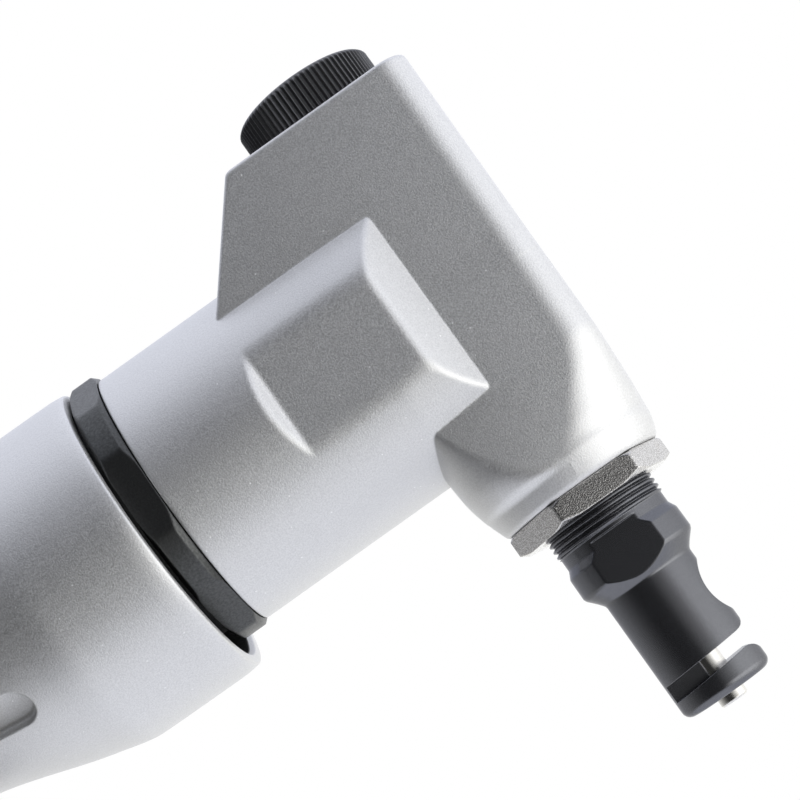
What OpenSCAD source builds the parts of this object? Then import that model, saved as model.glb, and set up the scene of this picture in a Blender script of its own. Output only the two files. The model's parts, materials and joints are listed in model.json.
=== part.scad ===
// Air nibbler for sheet metal, with a straight grip and a right-angle punching head.
// The barrel lies along X, the air inlet face is at the origin and the punch works along -Z.
// Inside: vane motor, planetary reduction, crankshaft, sliding ram, punch and die.
// The head is drawn in places measured from the punch axis, which stands at x = punch_x.

/* [Overall] */
// Distance from the air inlet face to the punch axis
punch_x = 205; // [195:1:225]
// Radius of the round neck of the head
neck_r = 23; // [22.8:0.1:23.4]
// Stroke of the punch, twice the crank's throw
stroke = 6.4; // [5.6:0.2:6.6]

/* [Head] */
// Half the thickness of the head block between its flat sides
block_half = 15.74; // [15.5:0.1:16.5]
// Height of the head block's top face above the barrel's axis
block_top = 34.7; // [34.5:0.1:38]
// Depth of the nose's flat underside below the barrel's axis
nose_z = -35.2; // [-36:0.1:-35]
// Distance of the side flats on the neck from the axis
side_flat = 21.21; // [21:0.1:22]

/* [Cap] */
// Radius over the knurl of the top cap
cap_r = 12.33; // [12:0.1:13]
// Number of straight ridges round the cap
knurl_count = 80; // [60:4:96]

/* [Die] */
// Radius of the thread on the die body
thread_r = 9.8; // [9.7:0.05:9.85]
// Radius of the die's plain cylinder
die_r = 7.72; // [7.6:0.1:8.2]
// Distance across the die's spanner flats
die_flats = 17.4; // [17:0.1:17.6]
// Radius of the punch
punch_r = 2.4; // [2.2:0.05:2.5]
// Distance across the flats of the lock nut
nut_flats = 25; // [24.5:0.1:26]

/* [Gears] */
// Module of the planetary gears
gear_module = 0.7; // [0.68:0.01:0.7]
// Teeth on the sun pinion
sun_teeth = 12; // [12:3:12]
// Teeth on each planet gear
planet_teeth = 18; // [18:3:18]

/* [Motor] */
// Radius of the motor's rotor
rotor_r = 11.5; // [11:0.1:11.6]
// Number of vanes
vane_count = 5; // [4:1:6]

/* [Lever] */
// Angle that the throttle lever travels
lever_travel = 10.5; // [8:0.5:11]

/* [Hidden] */
$fn = 64;
run_gap = 0.05;
cut = 0.01;
far = 200;

// Stations along X, measured from the punch axis and negative towards the inlet
neck_end = -52.4;
ring_end = -56.8;
rim_x = -57.8;
mouth_end = -64;
spigot_end = -73;
motor_front = -56;
motor_back = -98;
plate_back = -107;
valve_x = -160;
lever_x = -176;
barrel_end = -188;
inlet_x = -punch_x;

// Radii round the barrel's axis
spigot_r = 21;
gear_bore_r = 19;
seat_r = 14;
crank_bore_r = 9.3;
motor_bore_r = 18.1;
rotor_shift = 1.8;
cylinder_bore_r = rotor_r + rotor_shift + 0.2;
inlet_r = 5.8;

// Ram and crank
throw = stroke / 2;
ram_r = 10;
ram_low_r = 6;
sleeve_r = 3.6;
pin_r = 2.6;
// A slide that follows the crank at a steady rate leads it by up to 0.2105 of the throw
yoke_half = sleeve_r + 0.2105 * throw + 0.12;
ram_top = 20.2 - throw;
ram_step = -9 - throw;
ram_low = -36.8 - throw;

// Gear train
ring_teeth = sun_teeth + 2 * planet_teeth;
planet_orbit = gear_module * (sun_teeth + planet_teeth) / 2;
pressure_angle = 25;
addendum = 0.8 * gear_module;
dedendum = 1.1 * gear_module;
flank_play = 0.06;
planet_x = -45.4;
planet_w = 7.8;

module at_head() {
    translate([punch_x, 0, 0]) children();
}

// Cylinder along X between two stations
module round_x(x0, x1, r, r2 = -1) {
    translate([x0, 0, 0]) rotate([0, 90, 0])
        cylinder(h = x1 - x0, r1 = r, r2 = r2 < 0 ? r : r2);
}

// Cylinder along Y, centred on the XZ plane
module round_y(x, z, r, w) {
    translate([x, w / 2, z]) rotate([90, 0, 0]) cylinder(h = w, r = r);
}

// Cylinder along Z between two heights
module round_z(z0, z1, r, r2 = -1) {
    translate([0, 0, z0]) cylinder(h = z1 - z0, r1 = r, r2 = r2 < 0 ? r : r2);
}

// Tube along X
module tube_x(x0, x1, r_in, r_out) {
    difference() {
        round_x(x0, x1, r_out);
        round_x(x0 - 1, x1 + 1, r_in);
    }
}

// Slice of the barrel: a thin disc given by its top and bottom heights
module barrel_slice(x, top, bottom) {
    translate([x, 0, (top + bottom) / 2]) rotate([0, 90, 0])
        cylinder(h = 0.1, r = (top - bottom) / 2, $fn = 64);
}

barrel_run = [
    [rim_x - 0.1, 23.4, -28.0],
    [-63, 24.1, -28.5],
    [-76, 24.9, -28.3],
    [-104, 24.8, -20.7],
    [-114, 24.5, -19.4],
    [-178, 23.2, -19.2],
    [barrel_end, 20.6, -17.4]
];

module barrel_outside() {
    for (i = [0 : len(barrel_run) - 2]) {
        hull() {
            barrel_slice(barrel_run[i][0], barrel_run[i][1], barrel_run[i][2]);
            barrel_slice(barrel_run[i + 1][0], barrel_run[i + 1][1], barrel_run[i + 1][2]);
        }
    }
}

// Long recess in the barrel's lower flank, with round ends
pocket_front = -88.6;
pocket_len = 24;
pocket_w = 6.6;
pocket_angle = 36;
pocket_slope = 14.5;
pocket_floor = 23.3;
module flank_pocket(side) {
    mirror([0, side > 0 ? 1 : 0, 0]) rotate([pocket_angle, 0, 0])
        translate([pocket_front, -pocket_floor, 0]) rotate([0, 0, -pocket_slope]) {
            translate([-pocket_w / 2, 0, 0]) rotate([90, 0, 0]) cylinder(h = 9, r = pocket_w / 2);
            translate([pocket_w / 2 - pocket_len, 0, 0]) rotate([90, 0, 0])
                cylinder(h = 9, r = pocket_w / 2);
            translate([pocket_w / 2 - pocket_len, -9, -pocket_w / 2])
                cube([pocket_len - pocket_w, 9, pocket_w]);
        }
}

// Exhaust passage from the motor's ports to the mouth, under the motor bore
passage_end = -83;
port_x = [-80.5, -76.5];
module exhaust_passage() {
    intersection() {
        translate([0, 0, -2.3]) round_x(passage_end, mouth_end + 1, 23.4);
        difference() {
            translate([passage_end, -9, -30]) cube([mouth_end + 1 - passage_end, 18, 12]);
            round_x(passage_end - 1, mouth_end + 2, spigot_r + 1.6);
        }
    }
}

lever_z = -23.6;
module barrel() {
    color("silver") at_head() difference() {
        union() {
            barrel_outside();
            // Lug that carries the lever
            translate([lever_x, 0, lever_z]) round_y(0, 0, 4, 10);
            translate([lever_x - 4, -5, lever_z]) cube([8, 10, 8]);
        }
        // Mouth round the lock ring, thread, motor bore and air way
        translate([0, 0, -2.3]) round_x(mouth_end, rim_x + 1, 23.5);
        translate([0, 0, -2.3]) round_x(rim_x - 1, rim_x + cut, 23.5, 24.6);
        round_x(spigot_end - 0.3, mouth_end + 1, spigot_r + run_gap);
        round_x(plate_back - 0.2, spigot_end, motor_bore_r);
        round_x(-172.2, plate_back, 5);
        round_x(barrel_end - 1, -172, 9);
        exhaust_passage();
        for (x = port_x) translate([x, 0, 0]) round_z(-24, -15, 1.9);
        for (side = [-1, 1]) flank_pocket(side);
        // Valve bore, open to both faces
        translate([valve_x, 0, 0]) {
            round_z(-30, 30, 2.2);
            round_z(-15, 30, 5.6);
            round_z(15.2, 30, 6.6);
        }
        translate([lever_x, 0, lever_z]) round_y(0, 0, 1.55, 20);
    }
}

// Points of a quarter circle for a rounded corner, starting at angle a0
function corner_arc(x, y, r, a0) =
    [for (a = [a0 : 15 : a0 + 90]) [x + r * cos(a), y + r * sin(a)]];

// Horizontal slice of the head block with its own corner radii
module block_slice(z, rear, front, half, r_rear, r_front) {
    translate([0, 0, z]) linear_extrude(0.1) polygon(concat(
        corner_arc(front - r_front, half - r_front, r_front, 0),
        corner_arc(rear + r_rear, half - r_rear, r_rear, 90),
        corner_arc(rear + r_rear, -half + r_rear, r_rear, 180),
        corner_arc(front - r_front, -half + r_front, r_front, 270)));
}

block_front = 15.9;
module head_block() {
    // Upper part, with its rear face slanting down into the neck
    hull() {
        block_slice(block_top - 0.1, -15.8, block_front - 0.5, block_half - 0.5, 1.2, 3.6);
        block_slice(block_top - 0.7, -16.4, block_front, block_half, 1.2, 3.8);
        block_slice(17.2, -31.3, block_front - 0.4, block_half, 1.2, 3.9);
        block_slice(0, -31.3, block_front - 0.8, block_half, 1.2, 4.2);
    }
    // Lower part, square to round
    hull() {
        block_slice(0, -17.6, block_front - 0.8, block_half, 3.4, 4.2);
        block_slice(-16.8, -17.2, block_front - 1, block_half, 3.4, 4.9);
        translate([0, 0, -28]) cylinder(h = 0.1, r = 15.6, $fn = 32);
        translate([0, 0, nose_z + 2]) cylinder(h = 0.1, r = 15.2, $fn = 32);
        translate([0, 0, nose_z]) cylinder(h = 0.1, r = 14.3, $fn = 32);
    }
}

// Plan outline of the neck, with its side flats, their shoulders and the bevel to the block
neck_plan = [
    [neck_end, 30], [-30.5 - (30 - side_flat), 30], [-30.5, side_flat], [-8.4, side_flat],
    [-3.2, block_half], [4, block_half - 2], [4, -block_half + 2], [-3.2, -block_half],
    [-8.4, -side_flat], [-30.5, -side_flat], [-30.5 - (30 - side_flat), -30], [neck_end, -30]
];

module neck() {
    intersection() {
        round_x(neck_end, 5, neck_r);
        translate([0, 0, -far / 2]) linear_extrude(far) polygon(neck_plan);
    }
}

module head_housing() {
    color("silver") at_head() difference() {
        union() {
            head_block();
            neck();
            round_x(spigot_end, neck_end + 1, spigot_r);
        }
        // Ram bore with its bush seats, cap thread and die thread
        round_z(-13, 27, ram_r + run_gap);
        round_z(10, 26.5, 12);
        round_z(26.5, 40, 11.3);
        round_z(-24.2, -12, 9);
        round_z(-40, -24, thread_r + run_gap);
        // Crank opening, bearing seat with its circlip groove, gear bore
        round_x(-20, -4, crank_bore_r);
        round_x(-40, -16.4, seat_r);
        round_x(-33.6, -32.7, seat_r + 0.8);
        round_x(-90, -34, gear_bore_r);
    }
}

module lock_ring() {
    color([0.13, 0.14, 0.15]) at_head() difference() {
        intersection() {
            translate([ring_end, 0, 0]) rotate([0, 90, 0]) rotate([0, 0, -13])
                cylinder(h = neck_end - ring_end - 0.05, r = (neck_r - 0.05) / cos(30), $fn = 6);
            union() {
                round_x(ring_end, ring_end + 0.6, neck_r + 0.5, neck_r + 1.3);
                round_x(ring_end + 0.6, neck_end - 1.2, neck_r + 1.3);
                round_x(neck_end - 1.2, neck_end, neck_r + 1.3, neck_r - 0.1);
            }
        }
        round_x(ring_end - 1, neck_end + 1, spigot_r + run_gap);
    }
}

module top_cap() {
    step = 360 / knurl_count;
    knurl = [for (i = [0 : knurl_count - 1], k = [0 : 1])
        let(a = (i + k / 2) * step, r = k == 0 ? cap_r : cap_r - 0.42)
        [r * cos(a), r * sin(a)]];
    color([0.12, 0.12, 0.13]) at_head() {
        difference() {
            union() {
                translate([0, 0, block_top + 0.15]) linear_extrude(5.2) polygon(knurl);
                rotate_extrude() polygon(concat([[0, 40]],
                    [for (a = [0 : 15 : 90])
                        [cap_r - 0.42 - 2.4 * (1 - cos(a)), 40.04 + 2.4 * sin(a)]],
                    [[0, 42.6]]));
                round_z(28, block_top + 1, 11.25);
            }
            // Groove for the seal, and a hollow shank
            difference() {
                round_z(31, 33.2, 12);
                round_z(30, 34, 9.7);
            }
            round_z(27, 33, 7.5);
        }
    }
}

// Seal ring lying in a groove round the Z axis
module oring_z(z, r_mid, r_wire) {
    translate([0, 0, z]) rotate_extrude() translate([r_mid, 0]) circle(r = r_wire, $fn = 24);
}

module cap_oring() {
    color([0.1, 0.1, 0.1]) at_head() oring_z(32.1, 10.45, 0.72);
}

module lock_nut() {
    corner = nut_flats / 2 / cos(30);
    z0 = nose_z - 0.1;
    h = 3.2;
    color([0.75, 0.74, 0.72]) at_head() difference() {
        intersection() {
            translate([0, 0, z0 - h]) rotate([0, 0, 5.7]) cylinder(h = h, r = corner, $fn = 6);
            union() {
                round_z(z0 - h, z0 - h + 0.9, corner - 1.35, corner + 0.1);
                round_z(z0 - h + 0.9, z0 - 0.6, corner + 0.1);
                round_z(z0 - 0.6, z0, corner + 0.1, corner - 0.7);
            }
        }
        round_z(nose_z - 5, nose_z + 1, thread_r + run_gap);
    }
}

// Outline of the turned die, top to bottom, radius against height
thread_pitch = 0.9;
thread_rings = 4;
thread_foot = -42.2;
die_top = -24.3;
foot_top = -70.4;
foot_low = -73.75;
die_outline = concat(
    [[0, die_top], [thread_r - 0.6, die_top], [thread_r, die_top - 0.6]],
    [for (i = [0 : thread_rings - 1], k = [0 : 1])
        [k == 0 ? thread_r : thread_r - 0.6,
            thread_foot + (thread_rings - i - k / 2) * thread_pitch]],
    [[9.42, thread_foot - 0.1], [9.4, -44.3], [10.04, -45.6], [10.05, -49.6],
        [9.2, -50.6], [8.0, -51.9], [die_r, -52.6], [die_r, -72.3]],
    [for (a = [0 : 30 : 90]) [die_r - 1.45 * (1 - cos(a)), foot_low + 1.45 * (1 - sin(a))]],
    [[0, foot_low]]);

module die_body() {
    hex_r = die_flats / 2 / cos(30);
    color([0.11, 0.12, 0.13]) at_head() difference() {
        rotate_extrude() polygon(die_outline);
        // Spanner flats on the collar
        rotate([0, 0, -2.6]) difference() {
            round_z(-52.6, -43.4, 14);
            rotate([0, 0, 30]) translate([0, 0, -53]) cylinder(h = 10, r = hex_r, $fn = 6);
        }
        // Sight scallop on the front
        translate([13.75, 0, 0]) round_y(0, -59, 7.7, 20);
        // Slot for the sheet, with the web left behind the punch
        for (side = [-1, 1]) mirror([0, side > 0 ? 0 : 1, 0]) sheet_slot_half();
        // Rounded lip of the nose and bores for ram and punch
        round_z(-47.5, -20, ram_low_r + 0.3);
        round_z(-80, -47, punch_r + run_gap);
    }
}

// Half of the sheet slot; its upper face rises towards the front
web_half = 2.2;
module sheet_slot_half() {
    slot_side = [[-9, -67.95], [6.4, -66.45], [7.3, -65.5], [9, -65.2], [9, -69.6],
        [7.4, -70.1], [-9, foot_top]];
    difference() {
        translate([0, 9, 0]) rotate([90, 0, 0]) linear_extrude(9) polygon(slot_side);
        translate([-10, -1, -75]) cube([9, 1 + web_half, 10]);
    }
}

module ram() {
    color([0.62, 0.63, 0.65]) at_head() difference() {
        union() {
            round_z(ram_step, ram_top - 1, ram_r);
            round_z(ram_top - 1, ram_top, ram_r, ram_r - 1);
            round_z(ram_low, ram_step + 1, ram_low_r);
        }
        // Cross slot for the crank sleeve, open to the rear
        translate([-11, -throw - sleeve_r - 0.3, -throw - yoke_half])
            cube([15, 2 * (throw + sleeve_r + 0.3), 2 * yoke_half]);
        // Lightening bore and grease groove
        round_z(ram_top - 9, ram_top + 1, 5.5);
        difference() {
            round_z(ram_top - 4, ram_top - 3, 11);
            round_z(ram_top - 5, ram_top - 2, ram_r - 0.6);
        }
        // Punch bore and its screw
        round_z(ram_low - 1, -28, punch_r + 0.02);
        translate([0, 0, ram_low + 4]) rotate([90, 0, 0]) cylinder(h = 8, r = 1.52);
    }
}

module punch() {
    color([0.8, 0.79, 0.76]) at_head() difference() {
        union() {
            round_z(-75.3, -75, punch_r - 0.25, punch_r);
            round_z(-75, -28.2, punch_r);
        }
        // Flat for the screw
        translate([-3, -3, ram_low + 2.2]) cube([6, 1.2, 3.6]);
    }
}

module punch_screw() {
    color([0.2, 0.2, 0.21]) at_head() translate([0, 0, ram_low + 4]) difference() {
        rotate([90, 0, 0]) translate([0, 0, 1.85]) cylinder(h = 3.95, r = 1.5);
        rotate([90, 0, 0]) translate([0, 0, 4.2]) cylinder(h = 3, r = 0.75, $fn = 6);
    }
}

module ram_bush_upper() {
    color([0.72, 0.55, 0.3]) at_head() difference() {
        round_z(10.1, 26.4, 11.97);
        round_z(9, 28, ram_r + run_gap);
    }
}

module ram_bush_lower() {
    color([0.72, 0.55, 0.3]) at_head() difference() {
        round_z(-24.1, -13.1, 8.97);
        round_z(-25, -12, ram_low_r + run_gap);
    }
}

// Crank: web with its counterweight side, journal, planet carrier plate and crank pin
module crankshaft() {
    color([0.55, 0.56, 0.58]) at_head() difference() {
        union() {
            round_x(-16.2, -12.4, 9);
            round_x(-34.6, -16, 6);
            round_x(-37.2, -34.4, 15);
            translate([0, 0, -throw]) round_x(-13, 3, pin_r);
        }
        // Lightened on the crank pin's side, so that the far side balances it
        translate([-17, 0, 0]) rotate([0, 90, 0]) for (side = [-1, 1])
            rotate([0, 0, side * 52]) translate([12.2, 0, 0]) cylinder(h = 5, r = 5.4);
        for (i = [0 : 2]) rotate([i * 120, 0, 0])
            translate([0, planet_orbit, 0]) round_x(-38, -33, 1.97);
    }
}

module crank_sleeve() {
    color([0.8, 0.8, 0.8]) at_head() translate([0, 0, -throw])
        tube_x(-12.3, 3, pin_r + 0.02, sleeve_r);
}

module planet_pins() {
    color([0.75, 0.75, 0.76]) at_head() for (i = [0 : 2])
        rotate([i * 120, 0, 0]) translate([0, planet_orbit, 0]) round_x(planet_x, -34.5, 1.95);
}

module bearing_circlip() {
    color([0.3, 0.3, 0.31]) at_head() difference() {
        tube_x(-33.5, -32.75, 12.4, seat_r + 0.6);
        translate([-34, -1.6, 10]) cube([2, 3.2, 8]);
    }
}

// Ball bearing halves along X, with a shared ball track
module bearing_inner(x0, x1, r_in, r_out) {
    mid = (r_in + r_out) / 2;
    color([0.75, 0.76, 0.78]) at_head() difference() {
        tube_x(x0, x1, r_in + 0.02, r_in + (r_out - r_in) * 0.3);
        ball_track((x0 + x1) / 2, mid, (r_out - r_in) * 0.26);
    }
}

module bearing_outer(x0, x1, r_in, r_out, balls) {
    mid = (r_in + r_out) / 2;
    track = (r_out - r_in) * 0.26;
    color([0.75, 0.76, 0.78]) at_head() {
        difference() {
            tube_x(x0, x1, r_in + (r_out - r_in) * 0.7, r_out - 0.03);
            ball_track((x0 + x1) / 2, mid, track);
        }
        for (i = [0 : balls - 1]) rotate([i * 360 / balls, 0, 0])
            translate([(x0 + x1) / 2, mid, 0]) sphere(r = track - 0.06);
    }
}

module ball_track(x, mid, r) {
    translate([x, 0, 0]) rotate([0, 90, 0]) rotate_extrude() translate([mid, 0]) circle(r = r, $fn = 24);
}

module crank_bearing_front_inner() bearing_inner(-24.6, -16.6, 6, seat_r);
module crank_bearing_front_outer() bearing_outer(-24.6, -16.6, 6, seat_r, 8);
module crank_bearing_rear_inner() bearing_inner(-32.65, -24.65, 6, seat_r);
module crank_bearing_rear_outer() bearing_outer(-32.65, -24.65, 6, seat_r, 8);
module rotor_bearing_front_inner() bearing_inner(-55.4, -47.4, 5, 13);
module rotor_bearing_front_outer() bearing_outer(-55.4, -47.4, 5, 13, 8);
module rotor_bearing_rear_inner() bearing_inner(-106.4, -99.4, 4, 11);
module rotor_bearing_rear_outer() bearing_outer(-106.4, -99.4, 4, 11, 7);

// Angle, in degrees, by which an involute has turned at radius r from its base circle
function involute(r, base) = let(a = acos(min(1, base / r))) tan(a) * 180 / PI - a;

// Outline of a spur gear: per tooth, up one flank and down the other
function gear_outline(teeth, tip, root, extra, steps) =
    let(pitch = gear_module * teeth / 2,
        base = pitch * cos(pressure_angle),
        half0 = 90 / teeth + extra / pitch * 180 / PI + involute(pitch, base))
    [for (i = [0 : teeth - 1], k = [0 : 2 * steps + 1])
        let(up = k <= steps,
            s = up ? k / steps : (2 * steps + 1 - k) / steps,
            r = root + (tip - root) * s,
            half = half0 - involute(r, base),
            a = i * 360 / teeth + (up ? -half : half))
        [r * cos(a), r * sin(a)]];

module spur_gear(teeth, w) {
    pitch = gear_module * teeth / 2;
    linear_extrude(w)
        polygon(gear_outline(teeth, pitch + addendum, pitch - dedendum, -flank_play, 4));
}

module ring_gear() {
    pitch = gear_module * ring_teeth / 2;
    color([0.5, 0.51, 0.53]) at_head() difference() {
        round_x(-45.8, -37.4, gear_bore_r - 0.05);
        // Local +X of the gear outline is turned to the row's +Y
        translate([-50, 0, 0]) rotate([0, 90, 0]) rotate([0, 0, 90 + 180 / ring_teeth])
            linear_extrude(20) polygon(
                gear_outline(ring_teeth, pitch + dedendum, pitch - addendum, flank_play, 3));
    }
}

// Planet i stands at angle 120 i round the axis, with a tooth gap towards the axis
module planet_gear(i) {
    color([0.62, 0.6, 0.55]) at_head() rotate([i * 120, 0, 0])
        translate([planet_x, planet_orbit, 0]) difference() {
            rotate([0, 90, 0]) rotate([0, 0, 90 + 180 / planet_teeth])
                spur_gear(planet_teeth, planet_w);
            round_x(-1, planet_w + 1, 2);
        }
}

module planet_gear_1() planet_gear(0);
module planet_gear_2() planet_gear(1);
module planet_gear_3() planet_gear(2);

module gear_washer() {
    color([0.4, 0.41, 0.42]) at_head() tube_x(-46.9, -45.9, 8, gear_bore_r - 0.1);
}

vane_t = 1.6;
vane_floor = 5.8;
module rotor() {
    color([0.6, 0.61, 0.62]) at_head() difference() {
        union() {
            round_x(motor_back + 0.2, motor_front - 0.2, rotor_r);
            round_x(motor_front - 1, -46.2, 5);
            round_x(-106.5, motor_back + 1, 4);
            translate([-46.4, 0, 0]) rotate([0, 90, 0]) rotate([0, 0, 90])
                spur_gear(sun_teeth, 46.4 - 37.8);
        }
        for (i = [0 : vane_count - 1]) rotate([90 + i * 360 / vane_count, 0, 0])
            translate([motor_back - 1, vane_floor, -vane_t / 2])
                cube([motor_front - motor_back + 2, 10, vane_t]);
    }
}

module vanes() {
    color([0.45, 0.33, 0.2]) at_head() for (i = [0 : vane_count - 1])
        rotate([90 + i * 360 / vane_count, 0, 0])
            translate([motor_back + 0.3, vane_floor + 0.1, -vane_t / 2 + 0.04])
                cube([motor_front - motor_back - 0.6, rotor_r - vane_floor - 0.05, vane_t - 0.08]);
}

module motor_cylinder() {
    color([0.58, 0.58, 0.56]) at_head() difference() {
        round_x(motor_back, motor_front, 18);
        translate([0, 0, rotor_shift]) round_x(motor_back - 1, motor_front + 1, cylinder_bore_r);
        // Exhaust holes below, inlet holes on one side, dowel hole on top
        for (x = port_x) translate([x, 0, 0]) round_z(-20, -8, 1.8);
        for (x = [-92, -62]) translate([x, 0, 0]) rotate([90, 0, 0]) cylinder(h = 20, r = 1.6);
        translate([0, 0, 16.6]) round_x(motor_back - 1, motor_back + 6, 0.8);
    }
}

module end_plate(x0, x1, r, seat_x0, seat_x1, bearing_r, hole_r) {
    difference() {
        round_x(x0, x1, r);
        round_x(seat_x0, seat_x1, bearing_r);
        round_x(x0 - 1, x1 + 1, hole_r);
    }
}

module front_end_plate() {
    color([0.66, 0.66, 0.64]) at_head()
        end_plate(-55.9, -47, gear_bore_r - 0.05, -55.5, -46, 13.02, 6.5);
}

module rear_end_plate() {
    color([0.66, 0.66, 0.64]) at_head() difference() {
        end_plate(plate_back, motor_back - 0.05, 18, plate_back - 1, -99.3, 11.02, 5.5);
        translate([0, 0, 16.6]) round_x(-104, motor_back + 1, 0.8);
        // Air way round the bearing
        for (side = [-1, 1]) rotate([side * 40, 0, 0])
            translate([0, 0, 14]) round_x(plate_back - 1, motor_back + 1, 1.6);
    }
}

module cylinder_dowel() {
    color([0.7, 0.7, 0.72]) at_head() translate([0, 0, 16.6]) round_x(-103, motor_back + 5, 0.78);
}

// Inlet bushing, with its hexagon outside the barrel and the hose thread at the face
module inlet_bushing() {
    hex_end = -192;
    color([0.72, 0.72, 0.7]) at_head() difference() {
        union() {
            intersection() {
                translate([inlet_x, 0, 0]) rotate([0, 90, 0])
                    cylinder(h = hex_end - inlet_x, r = 22 / 2 / cos(30), $fn = 6);
                union() {
                    round_x(inlet_x, inlet_x + 1.2, 11, 12.9);
                    round_x(inlet_x + 1.2, hex_end, 12.9);
                }
            }
            round_x(hex_end - 1, barrel_end - 0.05, 10.6);
            round_x(barrel_end - 1, -174, 8.95);
        }
        round_x(inlet_x - 1, inlet_x + 12, inlet_r);
        round_x(inlet_x + 11, inlet_x + 13, 5.3);
        round_x(inlet_x + 12, -170, 4.4);
        // Groove for the seal
        difference() {
            round_x(-178.5, -176.3, 12);
            round_x(-180, -175, 7.4);
        }
    }
}

module inlet_screen() {
    color([0.75, 0.75, 0.7]) at_head() difference() {
        round_x(inlet_x + 12.1, inlet_x + 12.9, 5.28);
        for (iy = [-2 : 2], iz = [-2 : 2])
            if (abs(iy) + abs(iz) < 4)
                translate([0, iy * 1.6, iz * 1.6]) round_x(inlet_x + 12, inlet_x + 13, 0.5);
    }
}

module inlet_oring() {
    color([0.1, 0.1, 0.1]) at_head() translate([-177.4, 0, 0]) rotate([0, 90, 0])
        rotate_extrude() translate([8.15, 0]) circle(r = 0.72, $fn = 24);
}

// Side outline of the lever when pressed, measured from its pivot
lever_outline = [
    [-5, 1.5], [-3, 2.6], [54, 2.6], [60, 1.4], [66, -2.2], [66.6, -4.2], [65, -5.2],
    [58, -4], [10, -3.6], [3, -4.4], [-3, -4], [-5, -1.5]
];
lever_half = 7.6;
lever_wall = 1.9;

module throttle_lever() {
    color([0.13, 0.13, 0.14]) at_head() translate([lever_x, 0, lever_z])
        rotate([0, lever_travel, 0]) difference() {
            translate([0, lever_half, 0]) rotate([90, 0, 0])
                linear_extrude(2 * lever_half) polygon(lever_outline);
            // Channel that takes the lug and the valve stem, closed at the tip
            translate([8, -lever_half + lever_wall, -1.6])
                cube([50, 2 * (lever_half - lever_wall), 8]);
            translate([-10, -lever_half + lever_wall, -10])
                cube([18.01, 2 * (lever_half - lever_wall), 20]);
            round_y(0, 0, 1.55, 20);
        }
}

module lever_pin() {
    color([0.75, 0.75, 0.76]) at_head() translate([lever_x, 0, lever_z]) round_y(0, 0, 1.5, 16.4);
}

stem_r = 1.6;
stem_tip = -27.83;
module valve_seat() {
    color([0.75, 0.6, 0.35]) at_head() translate([valve_x, 0, 0]) difference() {
        round_z(-14.9, -6, 5.55);
        round_z(-20, 0, stem_r + 0.9);
        round_z(-20, -11, stem_r + run_gap);
    }
}

module valve_stem() {
    color([0.78, 0.78, 0.8]) at_head() translate([valve_x, 0, 0]) {
        round_z(stem_tip + stem_r, -5, stem_r);
        translate([0, 0, stem_tip + stem_r]) sphere(r = stem_r);
        round_z(-5.2, -2.4, 4.2);
        round_z(-2.6, 1.5, 2.2);
    }
}

module valve_oring() {
    color([0.1, 0.1, 0.1]) at_head() translate([valve_x, 0, 0]) difference() {
        round_z(-5.85, -5.25, 3.6);
        round_z(-7, -4, stem_r + 0.01);
    }
}

// Coil spring as one round wire swept along a helix, six sides round the wire
spring_low = -2.2;
spring_high = 15;
spring_r = 3.1;
wire_r = 0.4;
spring_turns = 6;
steps_turn = 14;
wire_sides = 6;

function spring_ring(t) =
    let(a = 360 * t * spring_turns,
        z = spring_low + wire_r + t * (spring_high - spring_low - 2 * wire_r))
    [for (k = [0 : wire_sides - 1])
        let(b = 360 * k / wire_sides, r = spring_r + wire_r * cos(b))
        [r * cos(a), r * sin(a), z + wire_r * sin(b)]];

module valve_spring() {
    rings = spring_turns * steps_turn;
    points = [for (i = [0 : rings]) each spring_ring(i / rings)];
    sides = [for (i = [0 : rings - 1], k = [0 : wire_sides - 1], half = [0 : 1])
        let(a = i * wire_sides + k,
            b = i * wire_sides + (k + 1) % wire_sides,
            c = b + wire_sides,
            d = a + wire_sides)
        half == 0 ? [a, c, b] : [a, d, c]];
    first = [for (k = [1 : wire_sides - 2]) [0, k, k + 1]];
    last_0 = rings * wire_sides;
    last = [for (k = [1 : wire_sides - 2]) [last_0, last_0 + k + 1, last_0 + k]];
    color([0.7, 0.7, 0.72]) at_head() translate([valve_x, 0, 0])
        polyhedron(points = points, faces = concat(sides, first, last), convexity = 8);
}

module valve_plug() {
    color([0.2, 0.2, 0.21]) at_head() translate([valve_x, 0, 0]) difference() {
        round_z(15.3, 23.6, 6.55);
        translate([0, 0, 20.8]) cylinder(h = 5, r = 3.5, $fn = 6);
    }
}

barrel();
head_housing();
lock_ring();
top_cap();
cap_oring();
lock_nut();
die_body();
ram();
punch();
punch_screw();
ram_bush_upper();
ram_bush_lower();
crankshaft();
crank_sleeve();
planet_pins();
bearing_circlip();
crank_bearing_front_inner();
crank_bearing_front_outer();
crank_bearing_rear_inner();
crank_bearing_rear_outer();
ring_gear();
planet_gear_1();
planet_gear_2();
planet_gear_3();
gear_washer();
rotor();
vanes();
motor_cylinder();
front_end_plate();
rear_end_plate();
cylinder_dowel();
rotor_bearing_front_inner();
rotor_bearing_front_outer();
rotor_bearing_rear_inner();
rotor_bearing_rear_outer();
inlet_bushing();
inlet_screen();
inlet_oring();
throttle_lever();
lever_pin();
valve_seat();
valve_stem();
valve_oring();
valve_spring();
valve_plug();
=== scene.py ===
"""Looks of the air nibbler: smooth castings, turned steel, paint, and a plain pale studio."""

import json
import math

import bmesh
import bpy
from mathutils import Matrix, Vector


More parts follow.
